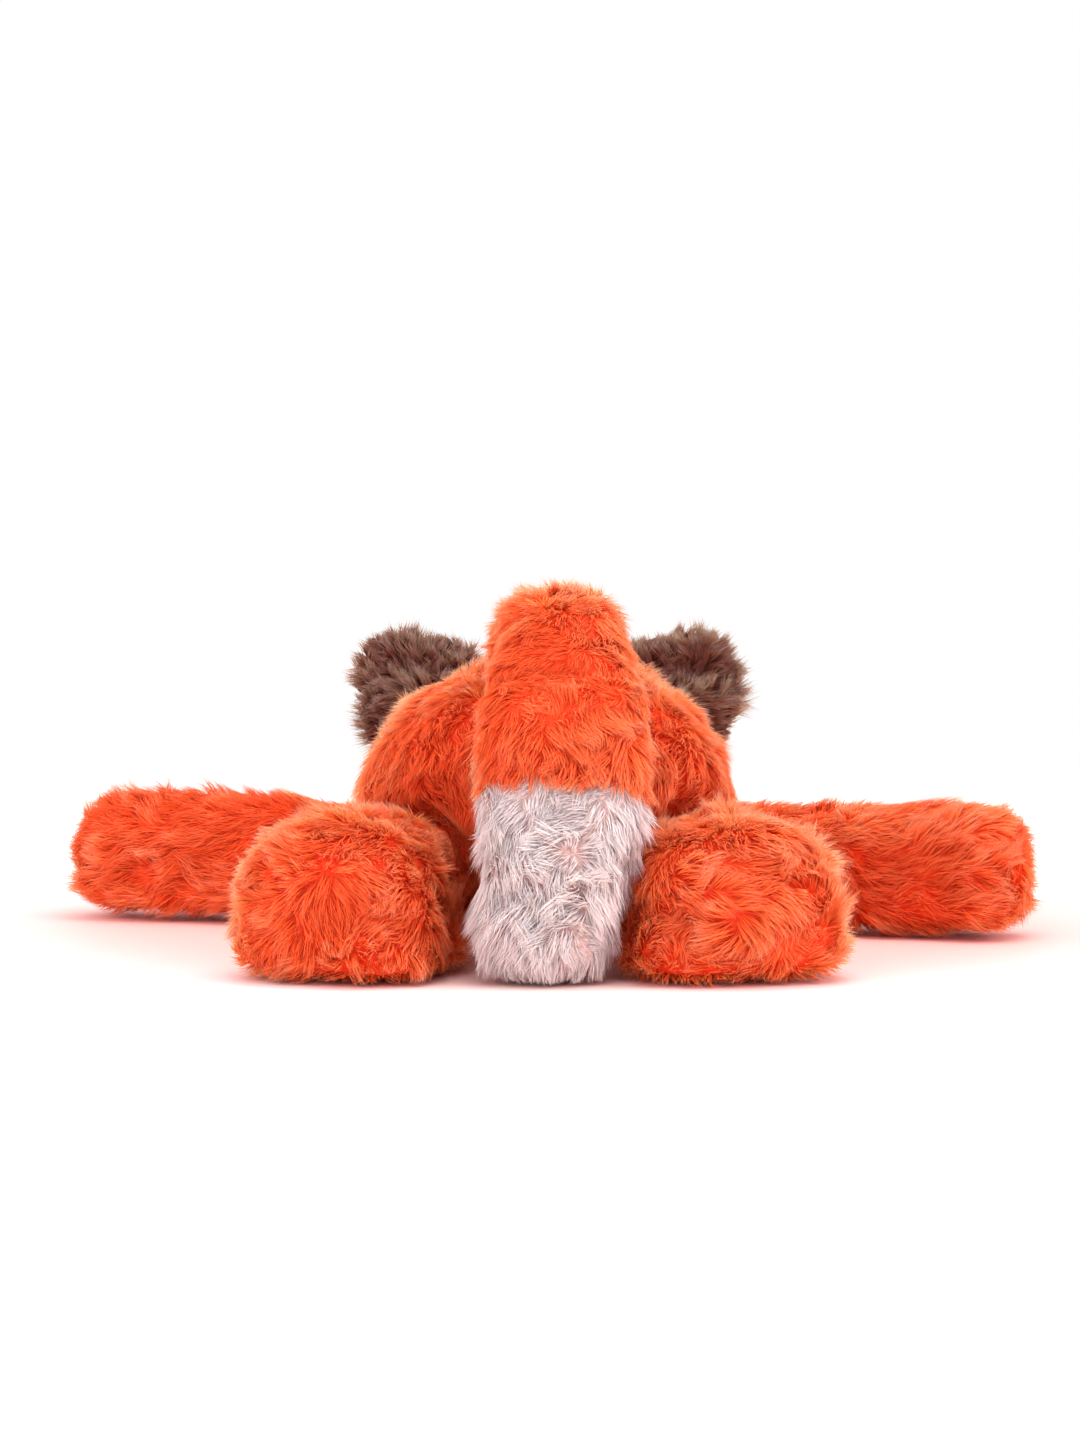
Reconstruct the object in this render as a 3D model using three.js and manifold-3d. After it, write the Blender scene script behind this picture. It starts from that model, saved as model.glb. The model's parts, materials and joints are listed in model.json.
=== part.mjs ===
// A floppy plush fox that lies on its belly with its limbs splayed and its bushy tail hung over
// its rump. It is sewn from fur fabric: each limb, the tail and the head are bags of their own,
// stuffed with fibre and with pouches of pellets, and each turns at the seam that holds it.
//
// Millimetres. +Y runs to the nose, +Z is up and +X is the fox's right. The origin lies on the
// flat of the belly, on the middle plane.
import * as THREE from "three";
import { mergeVertices } from "three/addons/utils/BufferGeometryUtils.js";
import Module from "manifold-3d";

const wasm = await Module();
wasm.setup();

// Fur fabric, and the room that is left between neighbours
const furWall = 5; // the backing and the lower half of the pile
const seamGap = 0.3; // between two panels along their seam
const fillGap = 0.4; // between a skin and what is stuffed into it
const jointGap = 1; // between a limb's round root and the hollow it is sewn into
const fitGap = 0.3; // round a stem, a washer or a plastic face
const cutReach = 400; // how far a cutting block reaches past its face

// Where a bag lies on the floor it is flattened
const floorFlat = 0.5;

// Torso
const torsoRear = -107;
const torsoLength = 166;
const torsoWidth = 132;
const torsoHeight = 105;
const torsoFront = torsoRear + torsoLength;
const rumpCap = 50;
const neckCap = 34;
const sideSeamHeight = 38;
const bellyPouchTop = 26;

// Neck and head
const neckAhead = 7; // of the torso's front
const neckPivotY = torsoFront + neckAhead;
const neckPivotHeight = 38;
const neckRadius = 28;
const neckHoleRadius = 14;
const headReach = 95; // from the neck's pivot to the tip of the muzzle
const headWidth = 128;
const headHeight = 88;
const muzzleCap = 18;
const muzzleHeight = 30; // of the middle of its tip, over the floor
const cheekSeamY = 26; // in front of the neck's pivot
const blazeHeight = 4; // the white of the face lies below this at the middle, over the neck's pivot
const cheekSlope = THREE.MathUtils.degToRad(13);

// Ears
const earSpread = 43;
const earForward = 40;
const earWidth = 56;
const earReach = 30;
const earThickness = 11;
const earTipRadius = 7;
const earTilt = THREE.MathUtils.degToRad(44);
const earSink = 1; // how far the root is let into the head

// Plastic eyes and nose, with the washers that lock them from inside
const eyeRadius = 5.5;
const eyeDome = 4;
const noseWidth = 18;
const noseHeight = 13;
const noseDome = 7;
const seatDepth = 1; // how far a plastic face sinks into the pile
const stemRadius = 1.8;
const stemTail = 3; // what stands out of the washer
const washerRadius = 5.5;
const washerThickness = 1.5;

// Arms
const shoulderSpread = 53;
const shoulderBehind = 18; // the torso's front
const shoulderY = torsoFront - shoulderBehind;
const shoulderRadius = 22;
const armReach = 129; // from the shoulder's pivot
const armWidth = 49;
const armHeight = 50;
const armCap = 19;
const leftArmSwing = THREE.MathUtils.degToRad(19); // towards the head
const rightArmSwing = THREE.MathUtils.degToRad(-23);

// Legs
const hipSpread = 50;
const hipAhead = 16; // of the torso's rear
const hipY = torsoRear + hipAhead;
const hipRadius = 25;
const legReach = 74; // from the hip's pivot
const legWidth = 68;
const legHeight = 57;
const legCap = 27;
const leftLegSwing = THREE.MathUtils.degToRad(24); // away from the tail
const rightLegSwing = THREE.MathUtils.degToRad(13);

const limbHoleRadius = 10;

// Tail
const tailAhead = 45; // of the torso's rear
const tailPivotY = torsoRear + tailAhead;
const tailPivotHeight = 99;
const tailRadius = 20;
const tailWidth = 56;
const tailThickness = 43;
const tailCap = 12;
const tailWayBack = 86; // from its pivot to where its tip lies on the floor
const tailSway = 5; // to the right where it bends over, and to the left at the tip

// How finely the outside and the hidden inside are faceted
const outside = { wideSides: 24, sides: 16, capRings: 4 };
const inside = { wideSides: 16, sides: 12, capRings: 3 };

// How many stretches each kind of bag has between its caps
const torsoBends = 6;
const headBends = 8;
const limbBends = 4;
const tailBends = 10;

// Rows of [share of the spine, width share, height share]
const torsoSwellShares = [
  [0, 0.92, 0.88],
  [0.3, 1, 1],
  [0.55, 0.84, 0.89],
  [0.8, 0.62, 0.74],
  [1, 0.54, 0.65],
];
const headSwellShares = [
  [0.1, 0.66, 0.8],
  [0.24, 0.94, 0.97],
  [0.38, 1, 1],
  [0.55, 0.88, 0.88],
  [0.7, 0.6, 0.66],
  [0.85, 0.42, 0.5],
  [1, 0.36, 0.43],
];
const armSwellShares = [
  [0.2, 0.93, 0.92],
  [0.6, 1, 1],
  [1, 1, 1],
];
const legSwellShares = [
  [0.3, 0.88, 0.95],
  [0.68, 1, 1],
  [1, 1, 1],
];
const tailSwellShares = [
  [0.1, 0.72, 0.96],
  [0.28, 0.76, 0.98],
  [0.44, 0.95, 1],
  [0.6, 0.98, 1],
  [0.8, 0.8, 0.92],
  [1, 0.68, 0.84],
];
const earSwellShares = [
  [0, 0.92, 1],
  [0.2, 0.98, 1],
  [0.6, 0.68, 0.9],
  [1, 0.3, 0.7],
];
// Rows of [share of the sway, share of the way back, share of the fall to the floor]
const tailPathShares = [
  [0.4, 0.24, -0.055],
  [0.8, 0.5, 0],
  [1, 0.72, 0.2],
  [0.8, 0.84, 0.46],
  [0, 0.93, 0.74],
  [-1, 1, 1],
];
// Rows of [share of the head's reach, share of the drop from its middle to the muzzle's]
const headPathShares = [
  [0.42, 0],
  [0.7, 0.35],
  [1, 1],
];
const torsoSagShare = 0.92; // twice the height of its widest place, in torso heights
const pouchStartShare = 0.45; // where a limb's pellet pouch takes over from its fibre
const tipStartShare = 0.6; // where the tail turns white
const eyeAlongShare = 0.62; // of the head's reach
const eyeAngle = THREE.MathUtils.degToRad(52); // round it, from the side
// How full a stuffed oval is, above and below its middle; 2 is an ellipse
const fullAbove = 2;
const fullBelow = 2.8;
const footFullBelow = 4.5; // pellets settle in the foot until it is nearly square on the floor

const across = new THREE.Vector3(1, 0, 0);
const up = new THREE.Vector3(0, 0, 1);
const down = new THREE.Vector3(0, 0, -1);
const forward = new THREE.Vector3(0, 1, 0);

function solidOf(geometry, place = new THREE.Matrix4()) {
  const bare = geometry.clone().applyMatrix4(place);
  bare.deleteAttribute("normal");
  bare.deleteAttribute("uv");
  const merged = mergeVertices(bare, seamGap / 1000);
  return new wasm.Manifold(
    new wasm.Mesh({
      numProp: 3,
      vertProperties: merged.attributes.position.array,
      triVerts: new Uint32Array(merged.index.array),
    }),
  );
}

function geometryOf(solid) {
  const mesh = solid.getMesh();
  const geometry = new THREE.BufferGeometry();
  geometry.setAttribute("position", new THREE.BufferAttribute(mesh.vertProperties, mesh.numProp));
  geometry.setIndex(new THREE.BufferAttribute(mesh.triVerts, 1));
  const faceted = geometry.toNonIndexed();
  faceted.computeVertexNormals();
  return faceted;
}

// Takes away all that lies beyond a plane, on the side that its normal points to.
function cutBeyond(solid, point, normal) {
  const block = new THREE.BoxGeometry(cutReach, cutReach, cutReach).translate(0, 0, cutReach / 2);
  const turn = new THREE.Quaternion().setFromUnitVectors(up, normal);
  const place = new THREE.Matrix4().compose(point, turn, new THREE.Vector3(1, 1, 1));
  return solid.subtract(solidOf(block, place));
}

// A stuffed bag is a spine and a swell: an oval ring stands square to the spine at each place, and
// each end closes in a round cap. Where there is a root, the spine starts at its middle, and the
// bag reaches back from there as a true ball, so that it turns in its hollow like one.
// The lower half of a ring may reach less far than the upper one: depth is twice its reach. It may
// also be fuller, as below says.
function stuffedBag({ side = across, rootRadius = 0, wide = false, ...shape }) {
  const { spine, width, height, depth, below, swellShares, startCap, endCap, bends } = shape;
  const rootRows = rootRadius ? [[0, (2 * rootRadius) / width, (2 * rootRadius) / height]] : [];
  const rows = [...rootRows, ...swellShares];
  const swell = new THREE.CubicInterpolant(
    rows.map((row) => row[0]),
    rows.flatMap((row) => row.slice(1)),
    2,
    [],
  );
  return {
    spine,
    side,
    width,
    height,
    depth: depth ?? height,
    below: below ?? fullBelow,
    swell,
    rootRadius,
    startCap: rootRadius || startCap,
    endCap,
    bends,
    wide,
    length: rootRadius + spine.getLength(),
  };
}

// The centre and half axes of the ring at a distance from the bag's near end, taken in by inset.
function ringOf(bag, distance, inset) {
  const reach = bag.length - bag.rootRadius;
  const along = distance - bag.rootRadius;
  const onSpine = THREE.MathUtils.clamp(along / reach, 0, 1);
  const tangent = bag.spine.getTangentAt(onSpine);
  const centre = bag.spine.getPointAt(onSpine).addScaledVector(tangent, along - onSpine * reach);
  const sideways = bag.side.clone().addScaledVector(tangent, -bag.side.dot(tangent)).normalize();
  const upwards = sideways.clone().cross(tangent);
  const [widthShare, heightShare] = bag.swell.evaluate(onSpine);
  const fromEnd = (left, cap) => {
    const share = THREE.MathUtils.clamp(left / cap, 0, 1);
    return Math.sqrt(1 - (1 - share) ** 2);
  };
  const closing =
    fromEnd(distance - inset, bag.startCap - inset) *
    fromEnd(bag.length - inset - distance, bag.endCap - inset);
  return {
    centre,
    sideways: sideways.multiplyScalar(((bag.width / 2) * widthShare - inset) * closing),
    upwards: upwards.clone().multiplyScalar(((bag.height / 2) * heightShare - inset) * closing),
    downwards: upwards.multiplyScalar(((bag.depth / 2) * heightShare - inset) * closing),
    fullness: THREE.MathUtils.smoothstep(distance, bag.startCap, 2 * bag.startCap),
    below: bag.below,
  };
}

// An oval is round at a ball root, and grows fuller away from it.
function ringPoint(ring, angle) {
  const above = Math.sin(angle) >= 0;
  const full = THREE.MathUtils.lerp(2, above ? fullAbove : ring.below, ring.fullness);
  const rounded = (value) => Math.sign(value) * Math.abs(value) ** (2 / full);
  return ring.centre
    .clone()
    .addScaledVector(ring.sideways, rounded(Math.cos(angle)))
    .addScaledVector(above ? ring.upwards : ring.downwards, rounded(Math.sin(angle)));
}

function bagPoint(bag, distance, angle, inset = 0) {
  return ringPoint(ringOf(bag, distance, inset), angle);
}

// The bag's surface: rings in each cap, and as many between them as the bag has bends.
function bagGeometry(bag, inset, detail) {
  const { capRings } = detail;
  const sides = bag.wide ? detail.wideSides : detail.sides;
  const startCap = bag.startCap - inset;
  const endCap = bag.endCap - inset;
  const first = inset;
  const last = bag.length - inset;
  const distances = [];
  for (let i = 1; i <= capRings; i++) {
    distances.push(first + startCap * (1 - Math.cos((Math.PI / 2) * (i / capRings))));
  }
  for (let i = 1; i < bag.bends; i++) {
    distances.push(THREE.MathUtils.lerp(first + startCap, last - endCap, i / bag.bends));
  }
  for (let i = capRings; i >= 1; i--) {
    distances.push(last - endCap * (1 - Math.cos((Math.PI / 2) * (i / capRings))));
  }
  const rings = distances.map((distance) =>
    Array.from({ length: sides }, (_, k) => bagPoint(bag, distance, (2 * Math.PI * k) / sides, inset)),
  );
  const points = [ringOf(bag, first, inset).centre, ...rings.flat(), ringOf(bag, last, inset).centre];
  const at = (ring, k) => 1 + ring * sides + (k % sides);
  const end = points.length - 1;
  const triangles = [];
  for (let k = 0; k < sides; k++) {
    triangles.push(0, at(0, k), at(0, k + 1));
    for (let ring = 0; ring < rings.length - 1; ring++) {
      triangles.push(at(ring, k), at(ring + 1, k), at(ring, k + 1));
      triangles.push(at(ring, k + 1), at(ring + 1, k), at(ring + 1, k + 1));
    }
    triangles.push(at(rings.length - 1, k), end, at(rings.length - 1, k + 1));
  }
  return new THREE.BufferGeometry().setFromPoints(points).setIndex(triangles);
}

// A cylinder that runs from a point along a direction.
function pegAlong(point, direction, radius, length, sides) {
  const peg = new THREE.CylinderGeometry(radius, radius, length, sides).translate(0, length / 2, 0);
  const turn = new THREE.Quaternion().setFromUnitVectors(forward, direction);
  return solidOf(peg, new THREE.Matrix4().compose(point, turn, new THREE.Vector3(1, 1, 1)));
}

// A limb points along its own +X from its pivot, which is the centre of its ball root.
function limbBag({ rootRadius, reach, width, height, below, swellShares, cap }) {
  return stuffedBag({
    spine: new THREE.LineCurve3(new THREE.Vector3(0, 0, 0), new THREE.Vector3(reach, 0, 0)),
    side: forward.clone().negate(),
    width,
    height,
    below,
    swellShares,
    rootRadius,
    endCap: cap,
    bends: limbBends,
  });
}

const armBag = limbBag({
  rootRadius: shoulderRadius,
  reach: armReach,
  width: armWidth,
  height: armHeight,
  swellShares: armSwellShares,
  cap: armCap,
});
const legBag = limbBag({
  rootRadius: hipRadius,
  reach: legReach,
  width: legWidth,
  height: legHeight,
  below: footFullBelow,
  swellShares: legSwellShares,
  cap: legCap,
});

function limbPlace(x, y, height, heading) {
  return new THREE.Matrix4()
    .makeTranslation(x, y, height)
    .multiply(new THREE.Matrix4().makeRotationZ(heading));
}

const shoulderHeight = armHeight / 2 - floorFlat;
const hipHeight = legHeight / 2 - floorFlat;

const limbs = [
  {
    name: "left_arm",
    bag: armBag,
    height: shoulderHeight,
    place: limbPlace(-shoulderSpread, shoulderY, shoulderHeight, Math.PI - leftArmSwing),
  },
  {
    name: "right_arm",
    bag: armBag,
    height: shoulderHeight,
    place: limbPlace(shoulderSpread, shoulderY, shoulderHeight, rightArmSwing),
  },
  {
    name: "left_leg",
    bag: legBag,
    height: hipHeight,
    place: limbPlace(-hipSpread, hipY, hipHeight, -Math.PI / 2 - leftLegSwing),
  },
  {
    name: "right_leg",
    bag: legBag,
    height: hipHeight,
    place: limbPlace(hipSpread, hipY, hipHeight, -Math.PI / 2 + rightLegSwing),
  },
];

// The tail's own frame has its origin at its pivot, where the ball root is.
const tailFall = tailPivotHeight + floorFlat;
const tailBag = stuffedBag({
  spine: new THREE.CatmullRomCurve3([
    new THREE.Vector3(0, 0, 0),
    ...tailPathShares.map(
      ([sway, back, fall]) => new THREE.Vector3(tailSway * sway, -tailWayBack * back, -tailFall * fall),
    ),
  ]),
  width: tailWidth,
  height: tailThickness,
  swellShares: tailSwellShares,
  rootRadius: tailRadius,
  bends: tailBends,
  endCap: tailCap,
});
const tailPlace = new THREE.Matrix4().makeTranslation(0, tailPivotY, tailPivotHeight);

// The head's own frame has its origin at the neck's pivot, and its chin lies on the floor.
const headRise = headHeight / 2 - floorFlat - neckPivotHeight;
const muzzleDrop = neckPivotHeight + headRise - muzzleHeight;
const headBag = stuffedBag({
  spine: new THREE.CatmullRomCurve3([
    new THREE.Vector3(0, 0, 0),
    ...headPathShares.map(
      ([reach, drop]) => new THREE.Vector3(0, headReach * reach, headRise - muzzleDrop * drop),
    ),
  ]),
  width: headWidth,
  height: headHeight,
  swellShares: headSwellShares,
  rootRadius: neckRadius,
  bends: headBends,
  wide: true,
  endCap: muzzleCap,
});
const headPlace = new THREE.Matrix4().makeTranslation(0, neckPivotY, neckPivotHeight);

// What is sewn to the torso is let into it: each bag, grown by the joint's gap, hollows it out.
const sewnOn = [
  ...limbs.map(({ bag, place }) => ({ bag, place })),
  { bag: tailBag, place: tailPlace },
  { bag: headBag, place: headPlace },
];

// The torso's middle sinks as it tapers, so that the whole belly lies on the floor.
const torsoDepth = torsoHeight * torsoSagShare;
const torsoBag = stuffedBag({
  spine: new THREE.CatmullRomCurve3(
    torsoSwellShares.map(
      ([along, , height]) =>
        new THREE.Vector3(0, torsoRear + torsoLength * along, (torsoDepth / 2) * height - floorFlat),
    ),
  ),
  width: torsoWidth,
  height: 2 * (torsoHeight + floorFlat) - torsoDepth,
  depth: torsoDepth,
  swellShares: torsoSwellShares,
  startCap: rumpCap,
  endCap: neckCap,
  bends: torsoBends,
  wide: true,
});

// The torso's shape, taken in by inset from the fur's outside.
function torsoForm(inset, detail) {
  let form = solidOf(bagGeometry(torsoBag, inset, detail));
  form = cutBeyond(form, new THREE.Vector3(0, 0, inset), down);
  for (const { bag, place } of sewnOn) {
    form = form.subtract(solidOf(bagGeometry(bag, -jointGap - inset, detail), place));
  }
  return form;
}

// A bag's shape, flattened where it lies on the floor.
function bagForm(bag, floor, inset, detail) {
  const form = solidOf(bagGeometry(bag, inset, detail));
  return cutBeyond(form, new THREE.Vector3(0, 0, floor + inset), down);
}

// A bag's skin, open at the middle of its root, where it was stuffed and then sewn on.
function bagSkin(bag, floor, holeRadius) {
  const pivot = bag.spine.getPointAt(0);
  const outwards = bag.spine.getTangentAt(0).negate();
  const hole = pegAlong(pivot, outwards, holeRadius, 2 * bag.rootRadius, outside.sides);
  return bagForm(bag, floor, 0, outside).subtract(bagForm(bag, floor, furWall, inside)).subtract(hole);
}

const furOrange = new THREE.MeshStandardMaterial({ color: "#ec5026", roughness: 0.95, metalness: 0 });
const furWhite = new THREE.MeshStandardMaterial({ color: "#e9dfdd", roughness: 0.95, metalness: 0 });
const furBrown = new THREE.MeshStandardMaterial({ color: "#66423a", roughness: 0.95, metalness: 0 });
const fibre = new THREE.MeshStandardMaterial({ color: "#f4f3ee", roughness: 1, metalness: 0 });
const pouchCloth = new THREE.MeshStandardMaterial({ color: "#d8cdb8", roughness: 0.9, metalness: 0 });
const blackPlastic = new THREE.MeshStandardMaterial({ color: "#120f0e", roughness: 0.15, metalness: 0 });
const washerPlastic = new THREE.MeshStandardMaterial({ color: "#e8e6df", roughness: 0.5, metalness: 0 });

function piece(name, solid, material) {
  const mesh = new THREE.Mesh(geometryOf(solid), material);
  mesh.name = name;
  return mesh;
}

function groupAt(place) {
  const group = new THREE.Group();
  group.applyMatrix4(place);
  return group;
}

// The torso is two panels sewn along each side, over fibre and a pouch of pellets in the belly.
function makeTorso() {
  const skin = torsoForm(0, outside).subtract(torsoForm(furWall, inside));
  const stuffing = torsoForm(furWall + fillGap, inside);
  const atHeight = (height) => new THREE.Vector3(0, 0, height);
  const group = new THREE.Group();
  group.add(
    piece("back_panel", cutBeyond(skin, atHeight(sideSeamHeight + seamGap / 2), down), furOrange),
    piece("belly_panel", cutBeyond(skin, atHeight(sideSeamHeight - seamGap / 2), up), furOrange),
    piece("torso_filling", cutBeyond(stuffing, atHeight(bellyPouchTop + fillGap), down), fibre),
    piece("belly_pellet_pouch", cutBeyond(stuffing, atHeight(bellyPouchTop), up), pouchCloth),
  );
  return group;
}

// A limb is one skin, with fibre in its root and a pouch of pellets in its paw or foot.
function makeLimb({ name, bag, height, place }) {
  const stuffing = bagForm(bag, -height, furWall + fillGap, inside);
  const beyond = bag.spine.getPointAt(pouchStartShare);
  const group = groupAt(place);
  group.add(
    piece(`${name}_skin`, bagSkin(bag, -height, limbHoleRadius), furOrange),
    piece(`${name}_filling`, cutBeyond(stuffing, beyond, across), fibre),
    piece(
      `${name}_pellet_pouch`,
      cutBeyond(stuffing, beyond.clone().addScaledVector(across, fillGap), across.clone().negate()),
      pouchCloth,
    ),
  );
  return group;
}

// The tail is an orange skin and a white tip, sewn end to end over one length of fibre.
function makeTail() {
  const skin = bagSkin(tailBag, -tailPivotHeight, limbHoleRadius);
  const seam = tailBag.spine.getPointAt(tipStartShare);
  const along = tailBag.spine.getTangentAt(tipStartShare);
  const seamBefore = seam.clone().addScaledVector(along, -seamGap / 2);
  const seamAfter = seam.clone().addScaledVector(along, seamGap / 2);
  const group = groupAt(tailPlace);
  group.add(
    piece("tail_skin", cutBeyond(skin, seamBefore, along), furOrange),
    piece("tail_tip", cutBeyond(skin, seamAfter, along.clone().negate()), furWhite),
    piece("tail_filling", bagForm(tailBag, -tailPivotHeight, furWall + fillGap, inside), fibre),
  );
  return group;
}

// A place on the outside of the head, with its +Y pointing straight out.
function headSpot(alongShare, angle, sideSign) {
  const distance = neckRadius + headReach * alongShare;
  const step = furWall / 10;
  const turn = sideSign > 0 ? angle : Math.PI - angle;
  const spot = bagPoint(headBag, distance, turn);
  const ahead = bagPoint(headBag, distance + step, turn).sub(spot);
  const round = bagPoint(headBag, distance, turn + step / headWidth).sub(spot);
  const out = ahead.cross(round).normalize();
  if (out.dot(spot.clone().sub(ringOf(headBag, distance, 0).centre)) < 0) out.negate();
  const quaternion = new THREE.Quaternion().setFromUnitVectors(forward, out);
  return new THREE.Matrix4().compose(spot, quaternion, new THREE.Vector3(1, 1, 1));
}

const stemSides = 8;
const faceSides = 16;
const domeSteps = 4;

// A plastic face with its stem, about +Y, grown by gap: a dome over a flat back that sits in the pile.
function plasticFace(radius, dome, widthShare, gap) {
  const stemLength = furWall + washerThickness + stemTail + gap;
  const back = -seatDepth - gap;
  const profile = [new THREE.Vector2(0, back), new THREE.Vector2(radius + gap, back)];
  for (let i = 0; i <= domeSteps; i++) {
    const turn = (Math.PI / 2) * (i / domeSteps);
    const bulge = (dome + gap) * Math.sin(turn);
    profile.push(new THREE.Vector2(i < domeSteps ? (radius + gap) * Math.cos(turn) : 0, bulge));
  }
  const face = new THREE.LatheGeometry(profile, faceSides).scale(widthShare, 1, 1);
  const stem = pegAlong(
    new THREE.Vector3(0, -stemLength, 0),
    forward,
    stemRadius + gap,
    stemLength,
    stemSides,
  );
  return solidOf(face).add(stem);
}

// A locking washer pushed up the stem against the inside of the skin, about +Y.
function washer(gap) {
  const inner = stemRadius + fitGap - gap;
  const outer = washerRadius + gap;
  const top = -furWall + gap;
  const bottom = -furWall - washerThickness - gap;
  const ring = [
    new THREE.Vector2(inner, bottom),
    new THREE.Vector2(outer, bottom),
    new THREE.Vector2(outer, top),
    new THREE.Vector2(inner, top),
    new THREE.Vector2(inner, bottom),
  ];
  return solidOf(new THREE.LatheGeometry(ring, stemSides));
}

function placed(solid, place) {
  return solidOf(geometryOf(solid), place);
}

// The white of the face: all below a shallow V, in front of the cheek seam. grow widens it.
function whiteFace(grow) {
  const half = headWidth;
  const rise = half * Math.tan(cheekSlope);
  const floor = -2 * neckPivotHeight;
  const outline = new THREE.Shape([
    new THREE.Vector2(-half, floor),
    new THREE.Vector2(half, floor),
    new THREE.Vector2(half, blazeHeight + rise + grow),
    new THREE.Vector2(0, blazeHeight + grow),
    new THREE.Vector2(-half, blazeHeight + rise + grow),
  ]);
  const depth = 2 * headReach;
  const region = new THREE.ExtrudeGeometry(outline, { depth, bevelEnabled: false });
  region.rotateX(Math.PI / 2).translate(0, cheekSeamY - grow + depth, 0);
  return solidOf(region);
}

// An ear stands on the head across its own +X and points up its +Z; its root is round about +X.
const earBag = stuffedBag({
  spine: new THREE.LineCurve3(
    new THREE.Vector3(0, 0, -earThickness / 2),
    new THREE.Vector3(0, 0, earReach),
  ),
  width: earWidth,
  height: earThickness,
  swellShares: earSwellShares,
  startCap: earThickness / 2,
  endCap: earTipRadius,
  bends: limbBends,
});

function earPlace(sideSign) {
  const ring = ringOf(headBag, neckRadius + earForward, 0);
  const angle = Math.acos((earSpread / ring.sideways.length()) ** (fullAbove / 2));
  const base = ringPoint(ring, angle);
  const tilt = new THREE.Matrix4().makeRotationY(sideSign * earTilt);
  const lift = up.clone().applyMatrix4(tilt).multiplyScalar(earThickness / 2 - earSink);
  return new THREE.Matrix4()
    .makeTranslation(sideSign * base.x + lift.x, base.y, base.z + lift.z)
    .multiply(tilt);
}

function makeEar(name, place) {
  const form = solidOf(bagGeometry(earBag, 0, inside));
  const front = new THREE.Vector3(0, seamGap / 2, 0);
  const group = groupAt(place);
  group.add(
    piece(`${name}_back`, cutBeyond(form, front.clone().negate(), forward), furBrown),
    piece(`${name}_lining`, cutBeyond(form, front, forward.clone().negate()), furWhite),
  );
  return group;
}

function makeHead() {
  const floor = -neckPivotHeight;
  const eyeSpots = {
    left_eye: headSpot(eyeAlongShare, eyeAngle, -1),
    right_eye: headSpot(eyeAlongShare, eyeAngle, 1),
  };
  const noseSpot = new THREE.Matrix4().makeTranslation(0, headReach, headRise - muzzleDrop);
  const ears = { left_ear: earPlace(-1), right_ear: earPlace(1) };
  const face = (gap) => plasticFace(eyeRadius, eyeDome, 1, gap);
  const nose = (gap) => plasticFace(noseHeight / 2, noseDome, noseWidth / noseHeight, gap);

  let skin = bagSkin(headBag, floor, neckHoleRadius);
  let stuffing = bagForm(headBag, floor, furWall + fillGap, inside);
  for (const place of Object.values(ears)) {
    skin = skin.subtract(solidOf(bagGeometry(earBag, -fitGap, inside), place));
  }
  const faces = [
    ...Object.values(eyeSpots).map((spot) => ({ spot, solid: face(fitGap) })),
    { spot: noseSpot, solid: nose(fitGap) },
  ];
  for (const { spot, solid } of faces) {
    const fixing = placed(solid, spot).add(placed(washer(fitGap), spot));
    skin = skin.subtract(fixing);
    stuffing = stuffing.subtract(fixing);
  }

  const group = groupAt(headPlace);
  group.add(
    piece("head_panel", skin.subtract(whiteFace(seamGap / 2)), furOrange),
    piece("muzzle_panel", skin.intersect(whiteFace(-seamGap / 2)), furWhite),
    piece("head_filling", stuffing, fibre),
    piece("nose", placed(nose(0), noseSpot), blackPlastic),
    piece("nose_washer", placed(washer(0), noseSpot), washerPlastic),
  );
  for (const [name, spot] of Object.entries(eyeSpots)) {
    group.add(
      piece(name, placed(face(0), spot), blackPlastic),
      piece(`${name}_washer`, placed(washer(0), spot), washerPlastic),
    );
  }
  for (const [name, place] of Object.entries(ears)) group.add(makeEar(name, place));
  return group;
}

const fox = new THREE.Group();
fox.name = "plush_fox";
fox.add(makeTorso(), makeHead(), makeTail(), ...limbs.map(makeLimb));

export default fox;
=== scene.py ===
# %% [markdown]
# # A plush fox, dressed in its fur
#
# The toy is sewn from long-pile fur fabric. Its construction is already packed: bags that swell
# and taper, with their fillings, pouches and joints. This lesson builds what the eye meets. Every
# bag is puffed up as stuffed cloth, its pile is planted and combed strand by strand, and the
# plastic nose and eyes are polished.

import json
import math
from contextlib import contextmanager

import bmesh
import bpy
import numpy as np
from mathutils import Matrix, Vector, noise
from mathutils.bvhtree import BVHTree


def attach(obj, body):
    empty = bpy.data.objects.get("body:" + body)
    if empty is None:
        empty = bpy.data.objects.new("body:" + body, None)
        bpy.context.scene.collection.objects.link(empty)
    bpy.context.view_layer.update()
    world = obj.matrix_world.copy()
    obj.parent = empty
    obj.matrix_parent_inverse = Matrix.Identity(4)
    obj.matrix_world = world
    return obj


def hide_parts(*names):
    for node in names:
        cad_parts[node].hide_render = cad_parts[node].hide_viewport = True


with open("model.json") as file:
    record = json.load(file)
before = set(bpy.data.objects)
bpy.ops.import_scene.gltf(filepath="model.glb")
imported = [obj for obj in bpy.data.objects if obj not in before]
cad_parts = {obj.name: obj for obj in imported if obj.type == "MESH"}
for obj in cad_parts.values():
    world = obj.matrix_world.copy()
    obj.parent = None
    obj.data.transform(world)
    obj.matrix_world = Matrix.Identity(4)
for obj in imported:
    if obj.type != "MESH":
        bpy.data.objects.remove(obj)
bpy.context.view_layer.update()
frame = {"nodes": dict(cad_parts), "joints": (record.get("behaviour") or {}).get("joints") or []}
MM = 0.001
NOISE_SEED = 1
noise.seed_set(NOISE_SEED)  # so that the pile swirls in the same way at every run

# %% [markdown]
# ## Camera
#
# The photograph looks at the fox from exactly behind, with a long lens and only a little from
# above. The line where each limb rests and the widths of the paws gave the camera's height and
# distance. A long lens keeps the far ears nearly as large as the near paws.

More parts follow.
